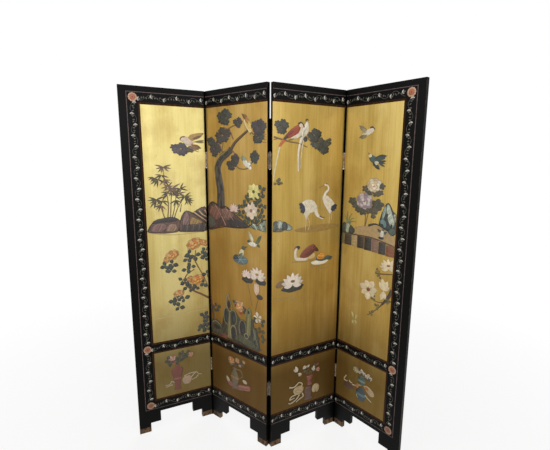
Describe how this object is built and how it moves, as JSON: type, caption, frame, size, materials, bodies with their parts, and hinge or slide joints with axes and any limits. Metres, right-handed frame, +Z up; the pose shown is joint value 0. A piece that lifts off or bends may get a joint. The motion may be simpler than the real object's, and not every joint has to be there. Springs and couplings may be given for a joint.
{
  "type": "folding room divider screen",
  "caption": "Free-standing folding screen of hinged lacquered leaves with gilt fields, carved bird-and-flower ornament, stepped bracket feet and metal shoes.",
  "frame": {"origin": "on the floor, under the middle of the standing screen's bounding box", "axes": "+Z up, -Y towards the viewer in front of the gilt side, +X to that viewer's right, from leaf 1 to leaf 4"},
  "size_m": [1.3857, 0.2796, 1.83],
  "materials": {
    "black_lacquer": "black lacquer, polished, lightly worn",
    "gilt": "gold leaf on board, streaked and aged",
    "core_wood": "plain sawn softwood",
    "hinge_metal": "worn, dull",
    "shoe_metal": "darkened, satin",
    "carved_stone": "carved and tinted soapstone, waxed"
  },
  "bodies": {
    "leaf_1": {"leaf_1_left_stile": "black_lacquer", "leaf_1_right_stile": "black_lacquer", "leaf_1_top_rail": "black_lacquer", "leaf_1_mid_rail": "black_lacquer", "leaf_1_bottom_rail": "black_lacquer", "leaf_1_foot_brackets": "black_lacquer", "leaf_1_foot_caps": "shoe_metal", "leaf_1_upper_gilt_panel": "gilt", "leaf_1_lower_gilt_panel": "gilt", "leaf_1_back_panel": "black_lacquer", "leaf_1_core_battens": "core_wood", "leaf_1_hinge_screws": "hinge_metal", "leaf_1_carvings": "carved_stone", "leaf_1_hinge_plates": "hinge_metal", "hinge_1_2_pins": "hinge_metal"},
    "leaf_2": {"leaf_2_left_stile": "black_lacquer", "leaf_2_right_stile": "black_lacquer", "leaf_2_top_rail": "black_lacquer", "leaf_2_mid_rail": "black_lacquer", "leaf_2_bottom_rail": "black_lacquer", "leaf_2_foot_brackets": "black_lacquer", "leaf_2_foot_caps": "shoe_metal", "leaf_2_upper_gilt_panel": "gilt", "leaf_2_lower_gilt_panel": "gilt", "leaf_2_back_panel": "black_lacquer", "leaf_2_core_battens": "core_wood", "leaf_2_hinge_screws": "hinge_metal", "leaf_2_carvings": "carved_stone", "leaf_2_hinge_plates": "hinge_metal", "hinge_2_3_pins": "hinge_metal"},
    "leaf_3": {"leaf_3_left_stile": "black_lacquer", "leaf_3_right_stile": "black_lacquer", "leaf_3_top_rail": "black_lacquer", "leaf_3_mid_rail": "black_lacquer", "leaf_3_bottom_rail": "black_lacquer", "leaf_3_foot_brackets": "black_lacquer", "leaf_3_foot_caps": "shoe_metal", "leaf_3_upper_gilt_panel": "gilt", "leaf_3_lower_gilt_panel": "gilt", "leaf_3_back_panel": "black_lacquer", "leaf_3_core_battens": "core_wood", "leaf_3_hinge_screws": "hinge_metal", "leaf_3_carvings": "carved_stone", "leaf_3_hinge_plates": "hinge_metal", "hinge_3_4_pins": "hinge_metal"},
    "leaf_4": {"leaf_4_left_stile": "black_lacquer", "leaf_4_right_stile": "black_lacquer", "leaf_4_top_rail": "black_lacquer", "leaf_4_mid_rail": "black_lacquer", "leaf_4_bottom_rail": "black_lacquer", "leaf_4_foot_brackets": "black_lacquer", "leaf_4_foot_caps": "shoe_metal", "leaf_4_upper_gilt_panel": "gilt", "leaf_4_lower_gilt_panel": "gilt", "leaf_4_back_panel": "black_lacquer", "leaf_4_core_battens": "core_wood", "leaf_4_hinge_screws": "hinge_metal", "leaf_4_carvings": "carved_stone", "leaf_4_hinge_plates": "hinge_metal"}
  },
  "joints": [
    {"name": "fold_1_2", "type": "hinge", "parent": "leaf_2", "child": "leaf_1", "pos_m": [-0.33997, 0.07859, 0], "axis": [0, 0, 1], "range_deg": [-62.5, 117.5]},
    {"name": "fold_2_3", "type": "hinge", "parent": "leaf_2", "child": "leaf_3", "pos_m": [0.02689, -0.09909, 0], "axis": [0, 0, 1], "range_deg": [-66, 114]},
    {"name": "fold_3_4", "type": "hinge", "parent": "leaf_3", "child": "leaf_4", "pos_m": [0.36937, 0.12198, 0], "axis": [0, 0, -1], "range_deg": [-77, 103]}
  ]
}
